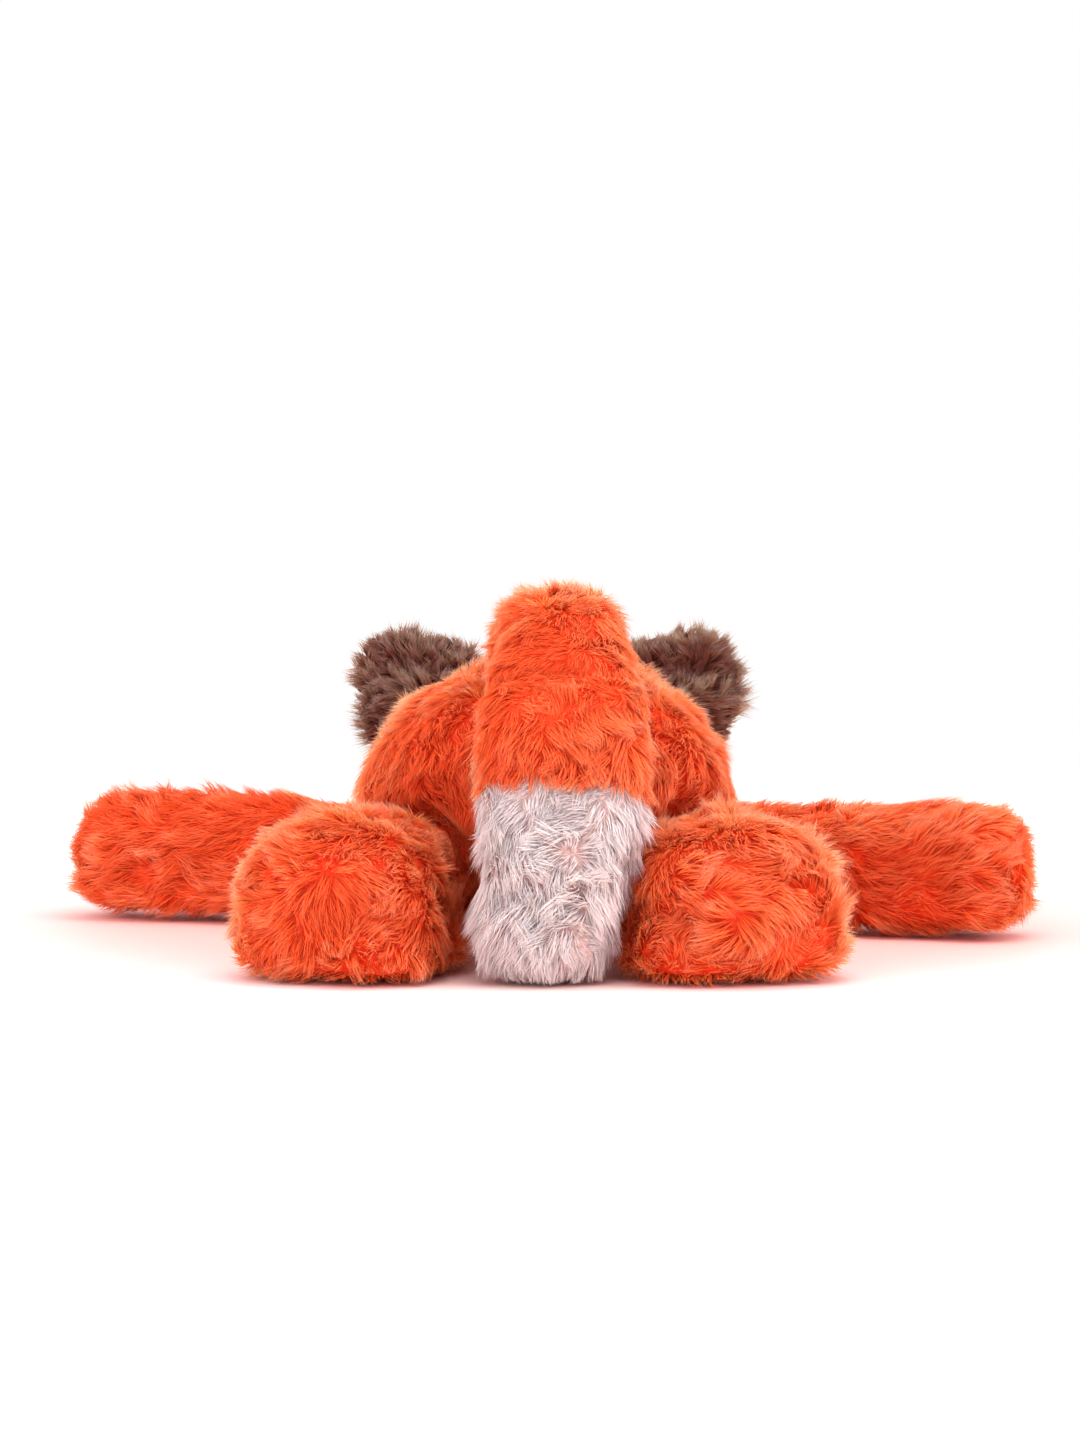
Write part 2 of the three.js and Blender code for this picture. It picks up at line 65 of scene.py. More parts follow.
# %% Camera
CAMERA_PLACE = (-3 * MM, -1465 * MM, 150 * MM)
CAMERA_DIP = 2.86  # degrees below the horizon
CAMERA_LENS, SENSOR = 104, 36  # in millimetres, the sensor along the picture's long side
scene = bpy.context.scene


def new_piece(name, data):
    """An object at the origin that holds this mesh, lamp or lens."""
    piece = bpy.data.objects.new(name, data)
    scene.collection.objects.link(piece)
    return piece


lens = bpy.data.cameras.new("camera")
lens.lens = CAMERA_LENS
lens.sensor_width = SENSOR
camera = new_piece("camera", lens)
camera.location = CAMERA_PLACE
camera.rotation_euler = (math.radians(90 - CAMERA_DIP), 0, 0)
scene.camera = camera
print("The camera stands", round(-CAMERA_PLACE[1], 3), "m behind the middle of the toy")

# %% [markdown]
# ## Floor, backdrop and light
#
# The toy lies on a white sheet under soft light from above. The floor is a real pale surface, so it
# keeps the soft shadow. Near the toy it is also painted pink, a painted reflection that stands in
# for the light the orange fur throws on it. Above the horizon the camera sees plain white, while
# the light that the world gives stays at a plain level.

# %% Short calls for building a node tree
def feed(tree, socket, value):
    """Links a socket into another, or sets it to a plain value."""
    if isinstance(value, bpy.types.NodeSocket):
        tree.links.new(value, socket)
    else:
        socket.default_value = value


def node(tree, kind, *values, **settings):
    """Adds a node and feeds its enabled inputs in order; None leaves an input as it is."""
    made = tree.nodes.new(kind)
    for name, value in settings.items():
        setattr(made, name, value)
    sockets = [s for s in made.inputs if s.enabled]
    for socket, value in zip(sockets, values):
        if value is not None:
            feed(tree, socket, value)
    return made


def result(made):
    """The first output that a node has in use."""
    return next(s for s in made.outputs if s.enabled)


def number(tree, operation, *values):
    return result(node(tree, "ShaderNodeMath", *values, operation=operation))


def vector(tree, operation, *values):
    return result(node(tree, "ShaderNodeVectorMath", *values, operation=operation))


def mixed(tree, kind, share, first, second):
    """A colour (RGBA) or a vector (VECTOR) between two others."""
    return result(node(tree, "ShaderNodeMix", share, first, second, data_type=kind))


def material_with(name, **values):
    """A material with one Principled shader, whose sockets take these values."""
    material = bpy.data.materials.new(name)
    material.use_nodes = True
    shader = material.node_tree.nodes["Principled BSDF"]
    for socket, value in values.items():
        shader.inputs[socket.replace("_", " ")].default_value = value
    return material, shader


# %% Floor
FLOOR_REACH = 30
FLOOR_COLOUR = (0.93, 0.93, 0.93, 1)
# Painted reflection: the floor near the toy is painted pink for light bounced off the orange fur
PAINTED_BOUNCE_PINK = (0.93, 0.54, 0.5, 1)
PAINTED_BOUNCE_MIDDLE = (12 * MM, 60 * MM, 0)
PAINTED_BOUNCE_REACH = (150 * MM, 310 * MM)  # where the blush begins and ends to fade
WHITE_REACH = (0.45, 1.1)  # where the sheet fades into the white backdrop, in metres


def fade(tree, distance, reach):
    """0 nearer than the reach begins, 1 past where it ends."""
    what = ("ShaderNodeMapRange", distance, *reach)
    return result(node(tree, *what, interpolation_type="SMOOTHSTEP"))


floor_paint, sheet = material_with("white sheet", Roughness=0.6)
tree = floor_paint.node_tree
spot = tree.nodes.new("ShaderNodeTexCoord").outputs["Object"]
far = vector(tree, "DISTANCE", spot, PAINTED_BOUNCE_MIDDLE)
painted_bounce = mixed(tree, "RGBA", fade(tree, far, PAINTED_BOUNCE_REACH), PAINTED_BOUNCE_PINK, FLOOR_COLOUR)
feed(tree, sheet.inputs["Base Color"], painted_bounce)
white = tree.nodes.new("ShaderNodeEmission")
by_camera = tree.nodes.new("ShaderNodeLightPath").outputs["Is Camera Ray"]
shown = number(tree, "MULTIPLY", fade(tree, far, WHITE_REACH), by_camera)
both = node(tree, "ShaderNodeMixShader", shown, sheet.outputs[0], white.outputs[0])
feed(tree, tree.nodes["Material Output"].inputs["Surface"], result(both))
floor_mesh = bpy.data.meshes.new("floor")
corners = [(-FLOOR_REACH, -FLOOR_REACH, 0), (FLOOR_REACH, -FLOOR_REACH, 0)]
corners += [(x, -y, z) for x, y, z in reversed(corners)]
floor_mesh.from_pydata(corners, [], [(0, 1, 2, 3)])
floor_mesh.materials.append(floor_paint)
floor = new_piece("floor", floor_mesh)
print("The floor reaches", FLOOR_REACH, "m to each side")

# %% Light from the world, and a white backdrop for the camera
SKY_LIGHT = 1.0

world = bpy.data.worlds.new("studio")
scene.world = world
world.use_nodes = True
tree = world.node_tree
sky = tree.nodes["Background"]
sky.inputs["Color"].default_value = (1, 1, 1, 1)
sky.inputs["Strength"].default_value = SKY_LIGHT
backdrop = node(tree, "ShaderNodeBackground", (1, 1, 1, 1), 1.0)
paths = tree.nodes.new("ShaderNodeLightPath").outputs
either = number(tree, "MAXIMUM", paths["Is Camera Ray"], paths["Is Glossy Ray"])
both = node(tree, "ShaderNodeMixShader", either, sky.outputs[0], backdrop.outputs[0])
feed(tree, tree.nodes["World Output"].inputs["Surface"], result(both))
print("The sky lights at", SKY_LIGHT)

# %% Soft lamps
# Rows of (name, place, what it points at, width in metres, power in watts)
LAMPS = [
    ("top softbox", (0.3, -0.4, 2.0), (0, 0, 0), 1.6, 22),
    ("front softbox", (-0.3, -2.2, 1.2), (0, 0, 0.05), 2.0, 22),
    ("left softbox", (-1.8, -0.9, 0.9), (0, 0, 0.05), 1.4, 15),
    ("right softbox", (1.8, -0.9, 0.9), (0, 0, 0.05), 1.4, 21),
]

for name, place, target, width, power in LAMPS:
    lamp = bpy.data.lights.new(name, "AREA")
    lamp.size = width
    lamp.energy = power
    holder = new_piece(name, lamp)
    holder.location = place
    holder.rotation_euler = (Vector(target) - Vector(place)).to_track_quat("-Z", "Y").to_euler()
scene.view_settings.view_transform = "Standard"
print(len(LAMPS), "soft lamps")

# %% [markdown]
# ## The sewn bags
#
# Torso, head, tail and limbs are bags of fur fabric, filled until they are round. Each starts from
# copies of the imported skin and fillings, joined and remeshed into one closed surface, and shrunk a
# little, because the pile will stand on it. Cloth simulation under pressure then puffs it up, as
# stuffing does, which gives the soft dents and swells that a drawn shape lacks. How far a point may
# move is capped, so the bag keeps its place. Last, each bag settles on the floor with the lumps of
# its filling, the skin rises to its seat behind the nose and eyes, and bags that lie against each
# other press each other in.

# %% Helpers for meshes
WELD = 0.02 * MM
SMOOTHING = 3
TINY = 1e-9  # keeps a division from failing


@contextmanager
def edited(mesh):
    """Opens a mesh for editing, and writes it back afterwards."""
    shape = bmesh.new()
    shape.from_mesh(mesh)
    yield shape
    shape.to_mesh(mesh)
    shape.free()


def copy_of(nodes, name):
    """One new piece from copies of CAD nodes, with their loose triangles merged."""
    mesh = bpy.data.meshes.new(name)
    with edited(mesh) as shape:
        for node_name in nodes:
            shape.from_mesh(packed(node_name))
        bmesh.ops.remove_doubles(shape, verts=shape.verts, dist=WELD)
    return new_piece(name, mesh)


def shown(piece):
    """What the piece's modifiers show, as a new mesh; they are then cleared."""
    graph = bpy.context.evaluated_depsgraph_get()
    mesh = bpy.data.meshes.new_from_object(piece.evaluated_get(graph))
    piece.modifiers.clear()
    return mesh


def keep_modifiers(piece):
    piece.data = shown(piece)
    return piece


def remeshed(piece, voxel):
    """Gives the piece one even, closed surface."""
    remesh = piece.modifiers.new("remesh", "REMESH")
    remesh.mode = "VOXEL"
    remesh.voxel_size = voxel
    smooth = piece.modifiers.new("smooth", "SMOOTH")
    smooth.iterations = SMOOTHING
    return keep_modifiers(piece)


def rows_of(items, field):
    """One row of three numbers for each point, face or normal."""
    found = np.empty(len(items) * 3, np.float32)
    items.foreach_get(field, found)
    return found.reshape(-1, 3).astype(float)


def places(mesh):
    return rows_of(mesh.vertices, "co")


def normals(mesh):
    return rows_of(mesh.vertex_normals, "vector")


def packed(name):
    """The mesh of a node of the CAD model."""
    return frame["nodes"][name].data


def move(mesh, points):
    mesh.vertices.foreach_set("co", points.astype(np.float32).ravel())
    mesh.update()


def lengths(ways):
    return np.linalg.norm(ways, axis=-1)


def unit_rows(ways):
    return ways / np.maximum(lengths(ways), TINY)[..., None]


def close(distance, reach):
    """1 where the distance is 0, falling to nothing over about twice this reach."""
    return np.exp(-((distance / reach) ** 2))


def grown(distance, reach, least):
    """Rises from the least at no distance to 1."""
    return np.clip(least + distance / reach, least, 1)


SWIRL_SHIFT = (3.7, 1.9, 5.3)  # how far each seed moves through the noise
RUFFLE_SHIFT = (2.3, 4.1, 1.3)
NOISE_SCALE = 1.6  # brings the noise to about -1 to 1


def swirls(points, size, seed):
    """A smooth field of directions that changes over about this size."""
    shift = Vector([seed * step for step in SWIRL_SHIFT])
    return np.array([noise.noise_vector(Vector(p) / size + shift) for p in points])


def ruffle(points, size, seed):
    """A smooth field of numbers, about -1 to 1, that changes over about this size."""
    shift = Vector([seed * step for step in RUFFLE_SHIFT])
    return np.array([noise.noise(Vector(p) / size + shift) for p in points]) * NOISE_SCALE


def tree_from(mesh):
    """A surface, ready to be asked which of its points is nearest."""
    corners = [tuple(polygon.vertices) for polygon in mesh.polygons]
    return BVHTree.FromPolygons([vert.co for vert in mesh.vertices], corners)


def depths(tree, points):
    """How deep each point lies under a surface, and the nearest place and facing on it."""
    found = [tree.find_nearest(Vector(point)) for point in points]
    near, facing = np.array([f[0] for f in found]), np.array([f[1] for f in found])
    return ((near - points) * facing).sum(1), near, facing


def covered_by(tree, points):
    """Whether each point lies inside a closed surface, seen along a line straight up."""
    hits = [tree.ray_cast(Vector(point), Vector((0, 0, 1))) for point in points]
    return np.array([hit[1] is not None and hit[1].z > 0 for hit in hits])


def largest_part(piece):
    """Keeps only the largest of the piece's loose surfaces, which is the outer one."""
    with edited(piece.data) as shape:
        left, parts = set(shape.verts), []
        while left:
            edge = {next(iter(left))}
            part = set(edge)
            while edge:
                edge = {link.other_vert(vert) for vert in edge for link in vert.link_edges} - part
                part |= edge
            left -= part
            parts.append(part)
        for part in sorted(parts, key=len)[:-1]:
            bmesh.ops.delete(shape, geom=list(part), context="VERTS")


# %% Which nodes make which bag
SIDES = ("left", "right")
LIMBS = [f"{side}_{limb}" for side in SIDES for limb in ("arm", "leg")]
PANELS = {
    "torso": ["back_panel", "belly_panel"],
    "head": ["head_panel", "muzzle_panel"],
    "tail": ["tail_skin", "tail_tip"],
    **{limb: [f"{limb}_skin"] for limb in LIMBS},
    **{f"{side}_ear": [f"{side}_ear_back", f"{side}_ear_lining"] for side in SIDES},
}
INSIDES = {
    "torso": ["torso_filling", "belly_pellet_pouch"],
    "head": ["head_filling"],
    "tail": ["tail_filling"],
    **{limb: [f"{limb}_filling", f"{limb}_pellet_pouch"] for limb in LIMBS},
}
# For each kind of body in mm: the size of its mesh's faces, the room that its pile takes, how deep
# a neighbour presses it in, and the radius round its pivot in which its root lies
MEASURES = {
    "torso": (6, 3, 4, 0),
    "head": (5, 4, 3, 28),
    "tail": (5, 1.5, 0.5, 20),
    "arm": (5.5, 4.5, 3, 22),
    "leg": (5.5, 1.5, 3, 25),
    "ear": (2, 1, 0, 0),
}


def kind_of(name):
    return name.removeprefix("left_").removeprefix("right_")


def measures(body):
    return [size * MM for size in MEASURES[kind_of(body)]]


bags = {}
for body in PANELS:
    bag = copy_of(PANELS[body] + INSIDES.get(body, []), body + " bag")
    voxel, inwards, _, _ = measures(body)
    largest_part(remeshed(bag, voxel))
    move(bag.data, places(bag.data) - inwards * normals(bag.data))
    bags[body] = bag
print({body: len(bag.data.vertices) for body, bag in bags.items()})

# %% Puff up the stuffed bags
PRESSURE = 4
LAST_FRAME = 20
SWELL_LIMIT = 2 * MM
LEAST_HEIGHT = 1.6 * MM  # of the backing over the floor

stuffed = [body for body in PANELS if "ear" not in body]
before = {body: places(bags[body].data) for body in stuffed}
for body in stuffed:
    cloth = bags[body].modifiers.new("cloth", "CLOTH")
    cloth.settings.use_pressure = True
    cloth.settings.uniform_pressure_force = PRESSURE
    cloth.settings.effector_weights.gravity = 0
    cloth.point_cache.frame_end = LAST_FRAME
for step in range(1, LAST_FRAME + 1):
    scene.frame_set(step)
for body in stuffed:
    keep_modifiers(bags[body])
scene.frame_set(1)
for body in stuffed:
    way = places(bags[body].data) - before[body]
    far = lengths(way)
    way *= np.minimum(1, SWELL_LIMIT / np.maximum(far, TINY))[:, None]
    move(bags[body].data, before[body] + way)
    print(body, "swelled by up to", round(float(far.max()) / MM, 1), "mm before the cap")
for bag in bags.values():
    bag.modifiers.new("subdivision", "SUBSURF").levels = 1
    bag.modifiers["subdivision"].render_levels = 1
    keep_modifiers(bag)

# %% Settle the bags on the floor, and crease them
SETTLE_HEIGHT = 20 * MM  # below it a bag spreads where its pellets press on the floor
SETTLE_SPREAD = 1.5 * MM
LIMB_SPREAD = 7 * MM
LEG_SAG = 0.94  # of a leg's height is left once its pellets have sagged
LUMPS = [(22 * MM, 1.0 * MM), (10 * MM, 0.9 * MM)]  # their size and height
LUMP_STRETCH = (0.6, 1, 1)  # lumps run across the body
TAIL_FOLD = (4 * MM, 99 * MM)  # across and up, where the tail folds over the rump
TAIL_FOLD_DROP = 2.7 * MM  # of the fold's ends
TAIL_FOLD_REACH = 20 * MM
TAIL_FOLD_WIDTH = 3.5 * MM
TAIL_FOLD_DEPTH = 5 * MM


def fold_height(points):
    """How far above the tail's fold each point lies."""
    aside = (points[:, 0] - TAIL_FOLD[0]) / TAIL_FOLD_REACH
    return points[:, 2] - (TAIL_FOLD[1] - TAIL_FOLD_DROP * aside**2)


def fold_share(points):
    """1 in the middle of the tail's fold, and 0 at its ends."""
    return np.sqrt(np.clip(1 - np.abs(points[:, 0] - TAIL_FOLD[0]) / TAIL_FOLD_REACH, 0, 1))


for seed, (body, bag) in enumerate(bags.items()):
    points, facing = places(bag.data), normals(bag.data)
    if "ear" not in body:
        for size, height in LUMPS:
            points += facing * (height * ruffle(points * LUMP_STRETCH, size, seed))[:, None]
        low = np.clip(1 - points[:, 2] / SETTLE_HEIGHT, 0, 1)
        spread = LIMB_SPREAD if body in LIMBS else SETTLE_SPREAD
        points += unit_rows(facing * [1, 1, 0]) * (spread * low)[:, None]
    if "leg" in body:
        points[:, 2] *= LEG_SAG
    if body == "tail":
        pressed = close(fold_height(points), TAIL_FOLD_WIDTH) * fold_share(points)
        pressed *= facing[:, 1] < 0
        points += (facing * -TAIL_FOLD_DEPTH) * pressed[:, None]
    points[:, 2] = np.maximum(points[:, 2], LEAST_HEIGHT)
    move(bag.data, points)
print("Settled", len(bags), "bags")

# %% Seat the head's skin right behind the nose and the eyes
SEAT_GAP = 0.4 * MM  # between the skin and a dome's rim
SEAT_REACH = 9 * MM  # over which the skin rises to the seat, past a dome's rim
SEAT_EDGE = 2 * MM  # past the rim, where no skin may stand above the seat
NEAR_RIM = 0.95  # of a dome's radius


def plastic_face(name):
    """Where a nose or eye stands: its points, the middle of its washer and its axis outwards."""
    points = places(packed(name))
    washer = places(packed(name + "_washer"))
    back = (washer.min(0) + washer.max(0)) / 2
    axis = np.linalg.svd(washer - washer.mean(0), full_matrices=False)[2][2]  # where it is thinnest
    axis *= np.sign((points.mean(0) - back) @ axis)
    return points, back, axis


PLASTICS = ("nose", "left_eye", "right_eye")
seats = {}  # for each, a point in the middle of its seat, its axis and its radius
points = places(bags["head"].data)
for name in PLASTICS:
    own, back, axis = plastic_face(name)
    out = (own - back) @ axis
    aside = lengths(own - back - np.outer(out, axis))
    radius = aside.max()
    rim = out[aside > NEAR_RIM * radius].min()
    seats[name] = (back + axis * (rim - SEAT_GAP), axis, radius)
    off = points - seats[name][0]
    behind = -(off @ axis)
    aside = lengths(off + np.outer(behind, axis))
    front = points[(aside + np.abs(behind)).argmin()]
    rise = (seats[name][0] - front) @ axis
    risen = rise * close(lengths(points - front), radius + SEAT_REACH)
    points += axis * risen[:, None]
    above = (points - seats[name][0]) @ axis
    points -= axis * (np.maximum(above, 0) * (aside < radius + SEAT_EDGE))[:, None]
    print(name, "lifts the skin by", round(float(rise) / MM, 1), "mm")
move(bags["head"].data, points)

# %% Press each bag in where another lies against it
CHILDREN = {"torso": ["head", "tail", *LIMBS]}
NEIGHBOURS = {body: ["torso"] for body in stuffed} | CHILDREN
PRESS_REACH = 9 * MM

skins = {body: tree_from(bag.data) for body, bag in bags.items()}
for body in stuffed:
    mesh = bags[body].data
    points, facing = places(mesh), normals(mesh)
    gap = np.min([-depths(skins[other], points)[0] for other in NEIGHBOURS[body]], axis=0)
    pressed = measures(body)[2] * close(gap, PRESS_REACH)
    points -= facing * pressed[:, None]
    points[:, 2] = np.maximum(points[:, 2], LEAST_HEIGHT)
    move(mesh, points)
    print(body, "pressed in by up to", round(float(pressed.max()) / MM, 1), "mm")
skins = {body: tree_from(bag.data) for body, bag in bags.items()}

# %% [markdown]
# ## The pile
#
# Fur fabric is a knitted backing with a long pile that clumps into pointed locks. A particle
# system could grow it, but its hairs don't leave Blender as a mesh. So a Geometry Nodes tree plants
# strands on each panel: thin three-sided cones, bent from their root, over the lie of the pile, to
# a tip that leans to the tip of the nearest lock. Three attributes steer it: comb says which way
# the pile lies, cover how dense it is and loft how high it stands. Each strand takes most of its
# shading from the skin below, which makes the pile look as soft as fine fibre does.

# %% The tree of the pile, what it is given, and short calls for it
# Name and kind of each input; the three counts are for each square metre
PILE_INPUTS = [
    ("Skin", "Geometry"),
    ("Guard hairs", "Float"),  # long and bent
    ("Underfur", "Float"),  # short and straight
    ("Locks", "Float"),
    ("Length", "Float"),
    ("Width", "Float"),  # half a strand's width at its root
    ("Rise", "Float"),  # how far a tip stands off, as a share of the length
    ("Gather", "Float"),  # how much strands lean to their lock's tip
    ("Stray", "Float"),  # how far locks turn from the comb, in radians
    ("Seed", "Int"),
    ("Fur", "Material"),
]

pile = bpy.data.node_groups.new("plant the pile", "GeometryNodeTree")
PILE_SOCKETS = {}
for name, kind in PILE_INPUTS:
    socket = pile.interface.new_socket(name=name, in_out="INPUT", socket_type="NodeSocket" + kind)
    PILE_SOCKETS[name] = socket.identifier
pile.interface.new_socket(name="Skin", in_out="OUTPUT", socket_type="NodeSocketGeometry")
given = pile.nodes.new("NodeGroupInput").outputs
here = result(pile.nodes.new("GeometryNodeInputPosition"))
print("The pile has", len(PILE_SOCKETS), "inputs")


def made(kind, *values, **settings):
    """The output of a new node in the pile's tree."""
    return result(node(pile, kind, *values, **settings))


def combined(operation, values):
    """Numbers joined one after another."""
    total = values[0]
    for value in values[1:]:
        total = number(pile, operation, total, value)
    return total


def times(*values):
    return combined("MULTIPLY", values)


def plus(*values):
    return combined("ADD", values)


def way_of(operation, *values):
    return vector(pile, operation, *values)


def scaled(way, by):
    return made("ShaderNodeVectorMath", way, by, operation="SCALE")


def turned(way, axis, angle):
    return made("ShaderNodeVectorRotate", way, None, axis, angle, rotation_type="AXIS_ANGLE")


def chance(low, high, seed):
    """A random number for each point, always the same for one seed."""
    return made("FunctionNodeRandomValue", low, high, None, seed, data_type="FLOAT")


def recall(name, kind="FLOAT_VECTOR"):
    """A stored attribute."""
    return made("GeometryNodeInputNamedAttribute", name, data_type=kind)


def remember(geometry, name, value, kind="FLOAT_VECTOR", domain="POINT"):
    """Stores a value on each point of the geometry under a name."""
    what = ("GeometryNodeStoreNamedAttribute", geometry, None, name, value)
    return made(*what, data_type=kind, domain=domain)


# %% Locks: sparse points that hold a way, a size and a tone
LOCK_SIZE = (0.8, 1.2)


def scattered(density, seed_step):
    """Random points on the skin, so many for each square metre."""
    seed = plus(given["Seed"], float(seed_step))
    what = ("GeometryNodeDistributePointsOnFaces", given["Skin"], None, density, seed)
    return node(pile, *what).outputs[:2]  # the points, and the skin's normal at each


locks, lock_normal = scattered(given["Locks"], 0)
astray = times(chance(-1.0, 1.0, 11), given["Stray"])
locks = remember(locks, "lock_way", turned(recall("comb"), lock_normal, astray))
locks = remember(locks, "lock_up", lock_normal)
locks = remember(locks, "lock_tone", chance(0.0, 1.0, 12), "FLOAT")
locks = remember(locks, "lock_size", chance(*LOCK_SIZE, 13), "FLOAT")

# %% Where each strand stands, bends and ends
STRAND_SIDES = 3
FLATNESS = 0.6  # a strand's depth as a share of its width
OWN_WAY = 0.35  # how much of a strand's way is its own, and not its lock's
KNEE = (0.25, 0.35)  # how far along and up a strand bends, as shares of its length
LONG = (0.85, 1.05)  # the range of each of these, as a share of what is asked for
WIDE = (0.7, 1.3)
LEAN = (0.5, 1.2)
LOCK_TONE = 0.5  # how much of a strand's tone is its lock's
UPRIGHT_RISE = 0.4  # how much higher pile stands that isn't combed at all


def reached(start, way, long, up, high):
    """The point that lies so far along a way from the start, and so far up."""
    return way_of("ADD", start, way_of("ADD", scaled(way, long), scaled(up, high)))


def strands(density, seed_step, steps, length_share, width_share, jitter):
    """An upright cone of so many steps on each of many points that know their strand."""
    cover, loft = recall("cover", "FLOAT"), recall("loft", "FLOAT")
    points, up = scattered(times(density, cover), seed_step)
    nearest = made("GeometryNodeSampleNearest", locks, here)

    def from_lock(value, kind="FLOAT_VECTOR"):
        return made("GeometryNodeSampleIndex", locks, value, nearest, data_type=kind)

    lock_way, lock_up = from_lock(recall("lock_way")), from_lock(recall("lock_up"))
    lock_size = from_lock(recall("lock_size", "FLOAT"), "FLOAT")
    lock_tone = from_lock(recall("lock_tone", "FLOAT"), "FLOAT")
    way = mixed(pile, "VECTOR", OWN_WAY, lock_way, recall("comb"))
    way = turned(way, up, chance(-jitter, jitter, seed_step + 20))
    way = way_of("SUBTRACT", way, scaled(up, way_of("DOT_PRODUCT", way, up)))

    long = times(given["Length"], chance(*LONG, seed_step + 21), loft, length_share)
    upright = number(pile, "SUBTRACT", 1.0, way_of("LENGTH", way))
    high = times(long, plus(times(upright, UPRIGHT_RISE), given["Rise"]), loft)
    own_tip = reached(here, way, long, up, high)
    lock_ends = times(long, lock_size), lock_up, times(high, lock_size)
    lock_tip = reached(from_lock(here), lock_way, *lock_ends)
    lean = times(given["Gather"], chance(*LEAN, seed_step + 22))
    tip = mixed(pile, "VECTOR", lean, own_tip, lock_tip)
    knee = reached(here, way, times(long, KNEE[0]), up, times(long, KNEE[1]))

    wide = chance(*[width_share * share for share in WIDE], seed_step + 23)
    wide = times(given["Width"], wide)
    reach = way_of("SUBTRACT", tip, here)
    side = way_of("NORMALIZE", way_of("CROSS_PRODUCT", reach, up))
    rise = way_of("NORMALIZE", way_of("CROSS_PRODUCT", side, reach))
    own_tone = chance(0.0, 1 - LOCK_TONE, seed_step + 24)
    side, rise = scaled(side, wide), scaled(rise, times(wide, FLATNESS))
    known = {"root": here, "knee": knee, "tip": tip, "side": side, "rise": rise, "facing": up}
    for name, value in known.items():
        points = remember(points, name, value)
    points = remember(points, "tone", plus(times(lock_tone, LOCK_TONE), own_tone), "FLOAT")

    cone = made("GeometryNodeMeshCone", STRAND_SIDES, steps, None, 0.0, 1.0, 1.0)
    return made("GeometryNodeInstanceOnPoints", points, None, remember(cone, "unit", here))


guard_hairs = strands(
    given["Guard hairs"], seed_step=1, steps=2, length_share=1.0, width_share=1.0, jitter=0.25
)
underfur = strands(
    given["Underfur"], seed_step=2, steps=1, length_share=0.85, width_share=0.85, jitter=0.45
)
both = pile.nodes.new("GeometryNodeJoinGeometry")
pile.links.new(underfur, both.inputs[0])
pile.links.new(guard_hairs, both.inputs[0])
real = made("GeometryNodeRealizeInstances", result(both))

# %% Each upright cone is bent along its own strand
BLUNTNESS = 1.3  # how slowly a strand thins out towards its tip
LEAST_BED, MORE_BED = 0.2 * MM, 1.5 * MM  # how low strands of each tone lie over the floor
SOFTNESS = 0.82  # how much a strand takes the light as the skin below it does

unit = node(pile, "ShaderNodeSeparateXYZ", recall("unit"))
t = unit.outputs["Z"]
s = number(pile, "SUBTRACT", 1.0, t)
bent = scaled(recall("root"), times(s, s))
bent = way_of("ADD", bent, scaled(recall("knee"), times(s, t, 2.0)))
bent = way_of("ADD", bent, scaled(recall("tip"), times(t, t)))
full = plus(1.0, times(t, BLUNTNESS))
sideways = scaled(recall("side"), times(unit.outputs["X"], full))
upwards = scaled(recall("rise"), times(unit.outputs["Y"], full))
bent = way_of("ADD", bent, way_of("ADD", sideways, upwards))
spread = node(pile, "ShaderNodeSeparateXYZ", bent)
tone_here = recall("tone", "FLOAT")
bed = plus(LEAST_BED, times(tone_here, MORE_BED))
above = number(pile, "MAXIMUM", spread.outputs["Z"], bed)
laid = made("ShaderNodeCombineXYZ", spread.outputs["X"], spread.outputs["Y"], above)
moved = made("GeometryNodeSetPosition", real, None, laid)
own_facing = result(pile.nodes.new("GeometryNodeInputNormal"))
facing = mixed(pile, "VECTOR", SOFTNESS, own_facing, recall("facing"))
what = ("GeometryNodeSetMeshNormal", moved, way_of("NORMALIZE", facing))
softened = made(*what, mode="FREE", domain="POINT")

# %% A map for the fur's colour: tone across, root to tip upwards
MAP = "OFBake"
MAP_EDGE = 0.03  # the room that a strand's own roundness takes on the map
SCRATCH = ["unit", "root", "knee", "tip", "side", "rise", "facing", "tone", "comb", "cover", "loft"]
SCRATCH += ["lock_way", "lock_up", "lock_tone", "lock_size"]  # what a finished fur needs no more

around = node(pile, "ShaderNodeSeparateXYZ", scaled(recall("unit"), MAP_EDGE))
column = plus(tone_here, around.outputs["X"], MAP_EDGE)
column = times(column, 1 - 2 * MAP_EDGE)
row = plus(times(t, 1 - 2 * MAP_EDGE), around.outputs["Y"], MAP_EDGE)
on_map = made("ShaderNodeCombineXYZ", column, row)
mapped = remember(softened, MAP, on_map, "FLOAT2", "CORNER")
furred = made("GeometryNodeSetMaterial", mapped, None, given["Fur"])
node(pile, "NodeGroupOutput", furred)
print("The tree that plants the pile has", len(pile.nodes), "nodes")

# %% [markdown]
# ## Fur colours
#
# Each strand's colour is painted deeper near its root, as painted shade for the light that is lost
# between its neighbours, and paler at its tip, as painted light for the glow that passes through
# the fibre. Whole locks also differ a little from each other. Both are read from the map that the
# tree writes: its height runs from root to tip, and its width holds the tone of the strand and its
# lock.

# %% Fur materials
def from_srgb(*colour):
    """A colour as it is seen, from 0 to 255, as the light that a shader takes."""
    light = [c / 255 for c in colour]
    return (*[c / 12.92 if c < 0.04045 else ((c + 0.055) / 1.055) ** 2.4 for c in light], 1)
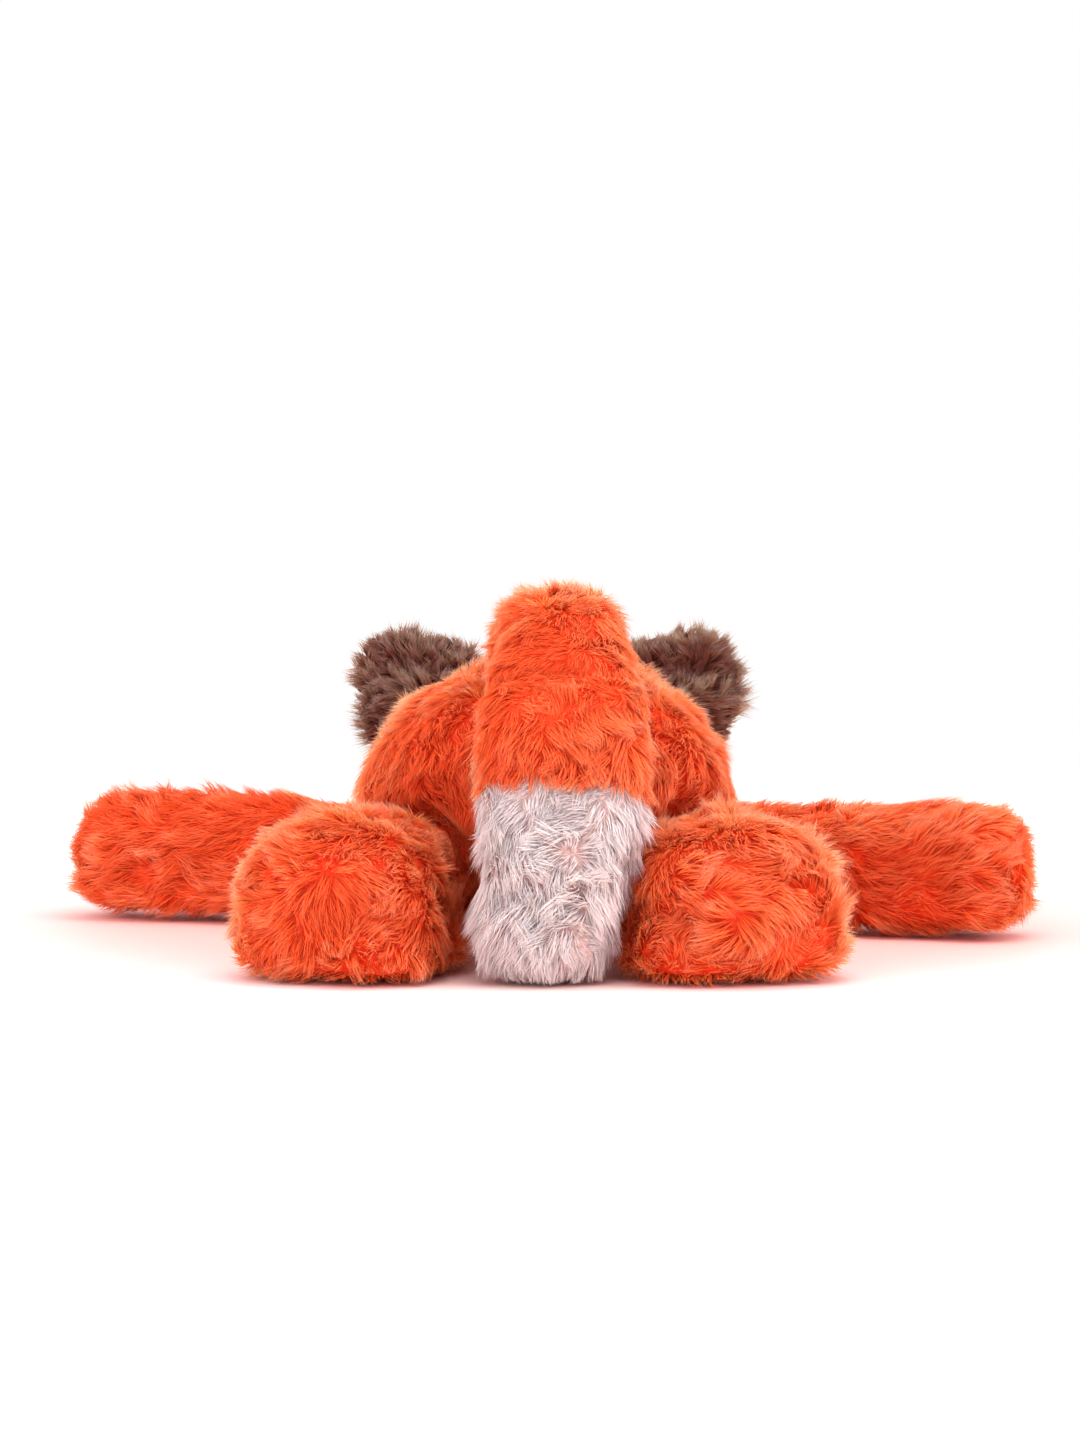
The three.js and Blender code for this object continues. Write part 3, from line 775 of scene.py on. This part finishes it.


# Rows of (height on the strand, deep tone, pale tone); low rows are painted shade, the tip painted
# light
FUR_SHADES = {
    "orange_fur": [
        (0.0, (222, 55, 26), (236, 65, 31)),
        (0.45, (252, 71, 30), (255, 83, 37)),
        (1.0, (255, 92, 43), (255, 116, 65)),
    ],
    # The white's pink cast is a painted reflection of light bounced off the orange fur
    "white_fur": [
        (0.0, (218, 168, 160), (224, 182, 176)),
        (0.4, (232, 204, 199), (238, 214, 210)),
        (1.0, (240, 216, 212), (248, 233, 230)),
    ],
    "brown_fur": [
        (0.0, (50, 22, 18), (62, 30, 25)),
        (0.4, (90, 40, 32), (111, 52, 42)),
        (1.0, (123, 59, 47), (162, 91, 76)),
    ],
}
FUR_FINISH = {
    "Roughness": 0.75,
    "Specular_IOR_Level": 0.12,
    "Subsurface_Weight": 0.65,
    "Subsurface_Radius": (1, 0.5, 0.35),
    "Subsurface_Scale": 2.2 * MM,
    "Sheen_Weight": 0.04,
    "Sheen_Roughness": 0.4,
}
SHEEN_TINTS = {
    "orange_fur": (255, 150, 96),
    "white_fur": (255, 236, 232),
    "brown_fur": (190, 140, 124),
}


def fur_material(name, rows, tint):
    """A fur whose colour runs up each strand and differs from lock to lock."""
    material, shader = material_with(name, **FUR_FINISH, Sheen_Tint=from_srgb(*tint))
    tree = material.node_tree
    place = node(tree, "ShaderNodeUVMap", uv_map=MAP)
    split = node(tree, "ShaderNodeSeparateXYZ", result(place))
    ramps = []
    for column in (1, 2):
        ramp = node(tree, "ShaderNodeValToRGB", split.outputs["Y"])
        stops = ramp.color_ramp.elements
        while len(stops) < len(rows):
            stops.new(0.5)
        for stop, row in zip(stops, rows):
            stop.position = row[0]
            stop.color = from_srgb(*row[column])
        ramps.append(ramp.outputs["Color"])
    colour = mixed(tree, "RGBA", split.outputs["X"], *ramps)
    feed(tree, shader.inputs["Base Color"], colour)
    return material


FURS = {
    name: fur_material(name.replace("_", " "), rows, SHEEN_TINTS[name])
    for name, rows in FUR_SHADES.items()
}
print("Furs:", sorted(FURS))

# %% [markdown]
# ## Which way the pile lies
#
# The nap of a toy runs away from the nose, back over the body and out along each limb, and every
# touch ruffles it into swirls. So each body has a main direction, to which a smooth field of swirls
# is added. On the round ends of the limbs the nap has nowhere to go and turns in a whorl.

# %% Combing
JOINTS = {joint["child"]: joint for joint in frame["joints"]}
WHORL_DEPTH = 16 * MM  # how far from a limb's end its whorl begins
WHORL_EYE = 5 * MM  # the radius within which the pile stands up
RUFFLE = 0.45
RUFFLE_DROP = 8 * MM  # below the tail's fold
RUFFLE_REACH = 6 * MM
TAIL_TOP = -60 * MM  # where along the toy the tail's pile lies level
TAIL_BEND = 45 * MM  # how much further back it lies straight down
EYE_PARTING = 9 * MM
EYE_PUSH = 2  # how strongly the pile is parted round an eye
BACKWARDS = 0.7  # as strongly down as back, on the torso
OVER_FOLD = np.array([0, -0.1, 1])
FAN = 0.6  # how much an ear's pile fans out from its seam


def pivot_of(body):
    return np.array(JOINTS[body]["pos_m"])


def skin_points(body):
    return np.concatenate([places(packed(name)) for name in PANELS[body]])


def to_farthest(body):
    """From the body's pivot to the point of its skin that is farthest away."""
    off = skin_points(body) - pivot_of(body)
    return off[lengths(off).argmax()]


def comb_torso(points):
    return np.tile([0, -BACKWARDS, -BACKWARDS], (len(points), 1))


def comb_head(points):
    """Away from the nose, and parted round the eyes."""
    ways = unit_rows(points - seats["nose"][0])
    for name in PLASTICS[1:]:
        off = points - seats[name][0]
        ways += EYE_PUSH * close(lengths(off), EYE_PARTING)[:, None] * unit_rows(off)
    return ways


def comb_tail(points):
    """Up its front, over its top and down, with a ruffle below the fold."""
    turn = np.clip((TAIL_TOP - points[:, 1]) / TAIL_BEND, -1, 1) * math.pi / 2
    ways = np.stack([0 * turn, -np.cos(turn), -np.sin(turn)], 1)
    below = -fold_height(points)
    ruffled = RUFFLE * close(below - RUFFLE_DROP, RUFFLE_REACH) * fold_share(points)
    return ways + ruffled[:, None] * (OVER_FOLD - ways)


def comb_limb(body, turn, aside, above):
    """Out along the limb, and on its end away from a whorl that lies off its middle."""
    pivot = pivot_of(body)
    axis = unit_rows(to_farthest(body) * [1, 1, 0])
    reach = ((skin_points(body) - pivot) @ axis).max()
    whorl = pivot + axis * reach + np.cross(axis, [0, 0, 1]) * aside + np.array([0, 0, above])

    def ways(points):
        left = reach - (points - pivot) @ axis
        share = np.clip(1 - left / WHORL_DEPTH, 0, 1)[:, None]
        off = points - whorl
        off -= np.outer(off @ axis, axis)
        off /= np.maximum(lengths(off), WHORL_EYE)[:, None]
        round_whorl = math.cos(turn) * off + math.sin(turn) * np.cross(axis, off)
        return (1 - share) * axis + share * round_whorl

    return ways


def comb_ear(body):
    """Up and out from the seam."""
    base, outwards = pivot_of(body), unit_rows(to_farthest(body))
    return lambda points: unit_rows(outwards + FAN * unit_rows(points - base))


COMBS = {
    "torso": comb_torso,
    "head": comb_head,
    "tail": comb_tail,
    "left_arm": comb_limb("left_arm", 0.9, 0, 0),
    "right_arm": comb_limb("right_arm", -0.9, 0, 0),
    "left_leg": comb_limb("left_leg", 0.35, -10 * MM, 9 * MM),
    "right_leg": comb_limb("right_leg", -1.0, 8 * MM, -6 * MM),
    "left_ear": comb_ear("left_ear"),
    "right_ear": comb_ear("right_ear"),
}

# %% [markdown]
# ## Panels and their pile
#
# Where a bag is sewn from two fabrics, such as the orange and the white of the tail, its surface
# is shared out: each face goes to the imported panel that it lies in. A panel then gets a thin
# knitted backing, and its strands are planted on it. Nothing grows where a limb's root sits in its
# hollow, or where the plastic nose and eyes sit.

# %% Share a bag's faces among its panels
LINING_FACING = 0.75  # how squarely a face of an ear looks forwards to be its lining


def owners(body):
    """For each face of the bag, which of its panels it lies in."""
    mesh = bags[body].data
    if "ear" in body:  # the brown back is turned in all round, so it also covers the rim
        return np.array([int(polygon.normal.y > LINING_FACING) for polygon in mesh.polygons])
    trees = [tree_from(packed(name)) for name in PANELS[body]]
    middles = [Vector(middle) for middle in rows_of(mesh.polygons, "center")]
    return np.array([[tree.find_nearest(p)[3] for tree in trees] for p in middles]).argmin(1)


def panel_surface(body, index, shares):
    """The open surface of one panel of a bag."""
    mesh = bags[body].data.copy()
    with edited(mesh) as shape:
        others = [face for face in shape.faces if shares[face.index] != index]
        bmesh.ops.delete(shape, geom=others, context="FACES")
    mesh.shade_smooth()
    return mesh


# %% Comb and thin a panel's pile
ROOT_DEPTH = 3 * MM  # how deep in the other bag a skin lies where nothing grows on it
BARE_ROUND = 0.5 * MM  # bare skin beside a nose or eye
FACE_LOFT = 0.3  # of the pile right beside them, which is trimmed
FACE_REACH = 14 * MM
FOLD_LOFT = 0.6  # how much shorter the pile looks in the tail's fold
FLOOR_COVER = 0.25  # how much pile is left where a bag lies on the floor
UNDER_COVER = 0.4  # and where it only faces down
UNDER_FACING, UNDER_HEIGHT = 0.7, 6 * MM  # what faces down so squarely and so low, lies on it
LOFT_SIZE = 10 * MM  # of the tufts in which the pile stands higher
LOFT_RANGE = 0.42
SEAM_LOFT = {"orange_fur": 0.85, "brown_fur": 0.85, "white_fur": 0.45}  # orange falls over white
SEAM_REACH = 16 * MM
CREASE_LOFT = 0.35  # of the pile right beside another bag, which presses it flat
TAIL_CREASE_LOFT = 0.65
CREASE_REACH = 24 * MM
SWIRL_SIZE = 20 * MM
CURL_SIZE = 7 * MM
CURL_SHARE = 1.1
FULLY_COMBED = 0.6  # a comb of this strength or more lays the pile flat


def beside_plastic(points):
    """How far each point lies from the rim of the nearest nose or eye."""
    return np.min([lengths(points - seat) - radius for seat, _, radius in seats.values()], axis=0)


def cover_of(body, points, facing):
    """How densely the pile grows at each point, from 0 to 1."""
    cover = np.ones(len(points))
    for other in CHILDREN.get(body, [] if "ear" in body else [body]):
        partner = skins["torso" if other == body else other]
        at_root = lengths(points - pivot_of(other)) < measures(other)[3]
        deep = (depths(partner, points)[0] > ROOT_DEPTH) & covered_by(partner, points)
        cover[at_root & deep] = 0
    if body == "head":
        cover[beside_plastic(points) < BARE_ROUND] = 0
    downwards = np.clip(-facing[:, 2], 0, 1)
    cover *= 1 - (1 - UNDER_COVER) * downwards
    under = (downwards > UNDER_FACING) & (points[:, 2] < UNDER_HEIGHT)
    cover[under] = np.minimum(cover[under], FLOOR_COVER)
    return cover


def write_attribute(mesh, name, values):
    kind, field = ("FLOAT_VECTOR", "vector") if values.ndim == 2 else ("FLOAT", "value")
    attribute = mesh.attributes.new(name, kind, "POINT")
    attribute.data.foreach_set(field, values.astype(np.float32).ravel())


def comb(body, mesh, swirl, seed, others, seam_loft):
    """Writes how the pile lies, how dense it is and how high it stands on a panel.

    Others are the panels of another colour, at whose seam the pile is cut short."""
    points, facing = places(mesh), normals(mesh)
    ways = COMBS[body](points) + swirl * swirls(points, SWIRL_SIZE, seed)
    ways += swirl * CURL_SHARE * swirls(points, CURL_SIZE, seed + 20)
    ways -= facing * (ways * facing).sum(1)[:, None]
    flat = np.minimum(1, lengths(ways) / FULLY_COMBED)[:, None]
    write_attribute(mesh, "comb", unit_rows(ways) * flat)
    write_attribute(mesh, "cover", cover_of(body, points, facing))
    loft = 1 + LOFT_RANGE * ruffle(points * LUMP_STRETCH, LOFT_SIZE, seed)
    if others:
        gap = np.array([min(tree.find_nearest(Vector(p))[3] for tree in others) for p in points])
        loft *= grown(gap, SEAM_REACH, seam_loft)
    for other in NEIGHBOURS.get(body, []):
        least = TAIL_CREASE_LOFT if body == "tail" else CREASE_LOFT
        loft *= grown(-depths(skins[other], points)[0], CREASE_REACH, least)
    if body == "tail":
        loft *= 1 - FOLD_LOFT * close(fold_height(points), TAIL_FOLD_WIDTH) * fold_share(points)
    if body == "head":
        loft *= grown(beside_plastic(points), FACE_REACH, FACE_LOFT)
    write_attribute(mesh, "loft", loft)


# %% Plant a panel's pile
BACKING = 1.2 * MM
# The backing takes the foot of the fur map, so it wears the roots' painted shade
BACKING_ROOM = 0.12  # the part of the fur map's height that the backing takes
BACKING_MOTTLE = (9 * MM, 0.8)  # size and range of its tones


def plant(piece, values):
    """The pile that grows on the piece's surface, as a plain mesh."""
    grow = piece.modifiers.new("pile", "NODES")
    grow.node_group = pile
    for name, value in values.items():
        grow[PILE_SOCKETS[name]] = value
    return shown(piece)


def backed(piece, fur):
    """The knitted backing: the panel's surface with a thickness inwards."""
    wall = piece.modifiers.new("wall", "SOLIDIFY")
    wall.thickness = BACKING
    wall.offset = -1
    keep_modifiers(piece)
    mesh = piece.data
    mesh.materials.clear()
    mesh.materials.append(fur)
    write_attribute(mesh, "custom_normal", normals(mesh))
    corner_points = np.empty(len(mesh.loops), np.int32)
    mesh.loops.foreach_get("vertex_index", corner_points)
    size, strength = BACKING_MOTTLE
    x, y, z = (places(mesh)[corner_points] / size).T
    across = (1 + strength * np.sin(x)) / 2
    upwards = BACKING_ROOM * (1 + np.sin(y + z)) / 2
    layer = mesh.uv_layers.new(name=MAP)
    layer.uv.foreach_set("vector", np.stack([across, upwards], 1).astype(np.float32).ravel())
    return mesh


def joined(name, meshes):
    """One mesh from several."""
    parts = [new_piece(f"{name} part {i}", mesh) for i, mesh in enumerate(meshes)]
    with bpy.context.temp_override(active_object=parts[0], selected_editable_objects=parts):
        bpy.ops.object.join()
    mesh = parts[0].data
    bpy.data.objects.remove(parts[0])
    for attribute in SCRATCH:
        if attribute in mesh.attributes:
            mesh.attributes.remove(mesh.attributes[attribute])
    return mesh


# %% How each panel's pile is cut
# Rows of (fur, length in mm, rise, gather, stray, swirl, density)
PILES = {
    "back_panel": ("orange_fur", 8.5, 0.44, 0.3, 0.5, 1.1, 1.1),
    "belly_panel": ("orange_fur", 8.5, 0.44, 0.3, 0.5, 1.1, 1.05),
    "head_panel": ("orange_fur", 9, 0.42, 0.3, 0.5, 0.8, 0.7),
    "muzzle_panel": ("white_fur", 8, 0.36, 0.3, 0.4, 0.5, 0.85),
    "tail_skin": ("orange_fur", 8, 0.44, 0.3, 0.5, 1.3, 1.4),
    "tail_tip": ("white_fur", 9, 0.5, 0.22, 0.8, 1.5, 1.5),
    "arm_skin": ("orange_fur", 9, 0.44, 0.35, 0.5, 1.1, 1.0),
    "leg_skin": ("orange_fur", 9, 0.44, 0.3, 0.5, 1.0, 1.1),
    "ear_back": ("brown_fur", 8.5, 0.6, 0.45, 1.2, 1.0, 2.4),
    "ear_lining": ("white_fur", 6.5, 0.42, 0.35, 0.6, 0.7, 1.6),
}
GUARD_HAIRS = 0.5 / MM**2  # for each square metre
UNDERFUR = 1.5 / MM**2
LOCK_SPACING = 3.6 * MM
EAR_LOCK_SPACING = 2.4 * MM
HALF_WIDTH = 0.23 * MM


counts = {}
share = 1
for seed, (body, panels) in enumerate(PANELS.items(), start=1):
    shares = owners(body)
    for index, panel in enumerate(panels):
        fur, length, rise_share, gather, stray, swirl, density = PILES[kind_of(panel)]
        surface = panel_surface(body, index, shares)
        others = [tree_from(packed(n)) for n in panels if PILES[kind_of(n)][0] != fur]
        comb(body, surface, swirl, seed, others, SEAM_LOFT[fur])
        piece = new_piece(panel + "_fur", surface)
        hairs = plant(
            piece,
            {
                "Guard hairs": GUARD_HAIRS * density * share,
                "Underfur": UNDERFUR * density * share,
                "Locks": 1 / (EAR_LOCK_SPACING if "ear" in body else LOCK_SPACING) ** 2,
                "Length": length * MM,
                "Width": HALF_WIDTH / math.sqrt(share),
                "Rise": rise_share,
                "Gather": gather,
                "Stray": stray,
                "Seed": 10 * seed + index,
                "Fur": FURS[fur],
            },
        )
        piece.data = joined(panel, [backed(piece, FURS[fur]), hairs])
        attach(piece, body)
        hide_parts(panel)
        counts[panel] = sum(len(p.vertices) - 2 for p in piece.data.polygons)
print("Triangles of each fur:", counts)
print("All fur:", sum(counts.values()), "triangles")

# %% [markdown]
# ## What fills the bags
#
# Loose polyester fibre fills each bag, and a cloth pouch of plastic pellets gives the limbs and
# the belly their weight. Both are packed as smooth solids. Here the fibre gets its tufts, the
# pouches get the bumps of their pellets, and both are kept inside the puffed skins.

# %% Materials of the insides
FIBRE_TUFT = 6 * MM
TUFT_DEPTH = 1 * MM
THREAD = 0.8 * MM  # from thread to thread of the pouches' cloth
THREAD_DEPTH = 0.2 * MM


def spot_pattern(material, size, detail):
    """A soft procedural noise on the object's own coordinates."""
    tree = material.node_tree
    place = tree.nodes.new("ShaderNodeTexCoord").outputs["Object"]
    return node(tree, "ShaderNodeTexNoise", place, 1 / size, detail).outputs["Fac"]


def speckled(material, shader, pattern, dark, pale):
    """Gives a material a colour between two others, as a pattern says."""
    colour = mixed(material.node_tree, "RGBA", pattern, from_srgb(*dark), from_srgb(*pale))
    feed(material.node_tree, shader.inputs["Base Color"], colour)


def bumped(material, shader, height, depth):
    """Lets a pattern stand up from the surface by this depth."""
    bump = node(material.node_tree, "ShaderNodeBump", None, depth, None, height)
    feed(material.node_tree, shader.inputs["Normal"], result(bump))


fibre, shader = material_with("polyester fibre", Roughness=0.9, Sheen_Weight=0.3)
tufts = spot_pattern(fibre, FIBRE_TUFT, 6)
speckled(fibre, shader, tufts, (226, 224, 216), (248, 247, 242))
bumped(fibre, shader, tufts, TUFT_DEPTH)

pouch_cloth, shader = material_with("pouch cloth", Roughness=0.85)
tree = pouch_cloth.node_tree
place = tree.nodes.new("ShaderNodeTexCoord").outputs["Object"]
threads = []
for direction in ("X", "Y", "Z"):
    what = ("ShaderNodeTexWave", place, 1 / (THREAD * 2 * math.pi))
    threads.append(node(tree, *what, bands_direction=direction).outputs["Fac"])
weave = number(tree, "MULTIPLY", number(tree, "MULTIPLY", threads[0], threads[1]), threads[2])
speckled(pouch_cloth, shader, weave, (196, 182, 158), (224, 212, 190))
bumped(pouch_cloth, shader, weave, THREAD_DEPTH)
print("Materials:", fibre.name, "and", pouch_cloth.name)

# %% Fillings and pellet pouches
INNER_ROOM = 2.6 * MM  # between a skin's outside and what fills the bag
FIBRE_VOXEL = 4 * MM
FIBRE_LUMP = (9 * MM, 1.6 * MM)  # size and depth
POUCH_VOXEL = 2 * MM
PELLET = (4.5 * MM, 0.9 * MM)  # size and depth between two pellets


def stuffed_inside(node_name, body):
    """A soft piece for one filling or pouch, kept within the skin of its bag."""
    pouch = "pouch" in node_name
    piece = copy_of([node_name], node_name + "_soft")
    largest_part(remeshed(piece, POUCH_VOXEL if pouch else FIBRE_VOXEL))
    points, facing = places(piece.data), normals(piece.data)
    if pouch:
        size, depth = PELLET
        hollow = np.array([noise.voronoi(Vector(point) / size)[0][0] for point in points])
    else:
        size, depth = FIBRE_LUMP
        hollow = np.abs(ruffle(points, size, 1))
    points -= facing * (depth * np.clip(hollow, 0, 1))[:, None]
    deep, near, facing = depths(skins[body], points)
    shallow = deep < INNER_ROOM
    points[shallow] = (near - INNER_ROOM * facing)[shallow]
    move(piece.data, points)
    piece.data.shade_smooth()
    piece.data.materials.clear()
    piece.data.materials.append(pouch_cloth if pouch else fibre)
    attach(piece, body)
    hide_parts(node_name)
    return piece


inner_pieces = [stuffed_inside(name, body) for body, names in INSIDES.items() for name in names]
print("Inside the bags:", [piece.name for piece in inner_pieces])

# %% [markdown]
# ## The plastic face
#
# Nose and eyes are moulded domes with a stem, pushed through the fabric and locked from inside by
# a washer. They are turned shapes, so each is spun from a short profile that is measured on the
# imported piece, with a true dome that gives one clean highlight.

# %% Plastic materials
DUST = 1.5 * MM
GRAIN_SIZE, GRAIN_DEPTH = 0.8 * MM, 0.05 * MM

gloss, shader = material_with("polished black plastic", Roughness=0.12, Coat_Weight=0.15)
shader.inputs["Coat Roughness"].default_value = 0.03
dust = spot_pattern(gloss, DUST, 3)
speckled(gloss, shader, dust, (12, 10, 9), (22, 19, 17))

moulded, shader = material_with("moulded washer plastic", Roughness=0.5)
grain = spot_pattern(moulded, GRAIN_SIZE, 2)
speckled(moulded, shader, grain, (226, 223, 214), (238, 236, 230))
bumped(moulded, shader, grain, GRAIN_DEPTH)
print("Materials:", gloss.name, "and", moulded.name)

# %% Nose and eyes
TURN_STEPS = 48
DOME_STEPS = 12
AT_RIM = 0.98  # of the greatest width
STEM_BEHIND = 0.3 * MM  # the rim
LEAST_RIM = 0.05 * MM


def turned_face(name):
    """A dome and its stem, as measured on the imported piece."""
    points, back, axis = plastic_face(name)
    across = unit_rows(np.cross(axis, [0, 0, 1]))
    rise = np.cross(across, axis)
    out = (points - back) @ axis
    wide, tall = np.abs((points - back) @ across), np.abs((points - back) @ rise)
    at_rim = out[wide > AT_RIM * wide.max()]
    low, high = at_rim.min(), at_rim.max()
    stem = wide[out < low - STEM_BEHIND].max()
    # Rows of (place along the axis, half width, half height)
    rings = []
    for step in range(1, DOME_STEPS + 1):
        angle = math.radians(90 * step / DOME_STEPS)
        place = high + (out.max() - high) * math.cos(angle)
        rings.append((place, wide.max() * math.sin(angle), tall.max() * math.sin(angle)))
    if high - low > LEAST_RIM:
        rings.append((low, wide.max(), tall.max()))
    rings += [(low, stem, stem), (out.min(), stem, stem)]
    turn = 2 * math.pi * np.arange(TURN_STEPS) / TURN_STEPS
    verts = [back + axis * out.max()]
    for place, half_width, half_height in rings:
        sides = np.outer(half_width * np.cos(turn), across)
        verts.extend(back + axis * place + sides + np.outer(half_height * np.sin(turn), rise))
    verts.append(back + axis * out.min())
    faces = []
    last = 1 + (len(rings) - 1) * TURN_STEPS
    for step in range(TURN_STEPS):
        after = (step + 1) % TURN_STEPS
        faces += [(0, 1 + step, 1 + after), (last + step, len(verts) - 1, last + after)]
        for near in range(1, last, TURN_STEPS):
            far = near + TURN_STEPS
            faces.append((near + step, far + step, far + after, near + after))
    mesh = bpy.data.meshes.new(name + " turned")
    mesh.from_pydata([tuple(vert) for vert in verts], [], faces)
    with edited(mesh) as shape:
        bmesh.ops.recalc_face_normals(shape, faces=shape.faces)
    for polygon in mesh.polygons:
        polygon.use_smooth = bool((np.array(polygon.center) - back) @ axis > high)
    mesh.materials.append(gloss)
    piece = new_piece(name + "_turned", mesh)
    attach(piece, "head")
    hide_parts(name)
    return piece


for name in PLASTICS:
    face = turned_face(name)
    print(face.name, "is", [round(side / MM, 1) for side in face.dimensions], "mm")
    for slot in frame["nodes"][name + "_washer"].material_slots:
        slot.material = moulded

# %% Remove the working bags
for bag in bags.values():
    bpy.data.objects.remove(bag)
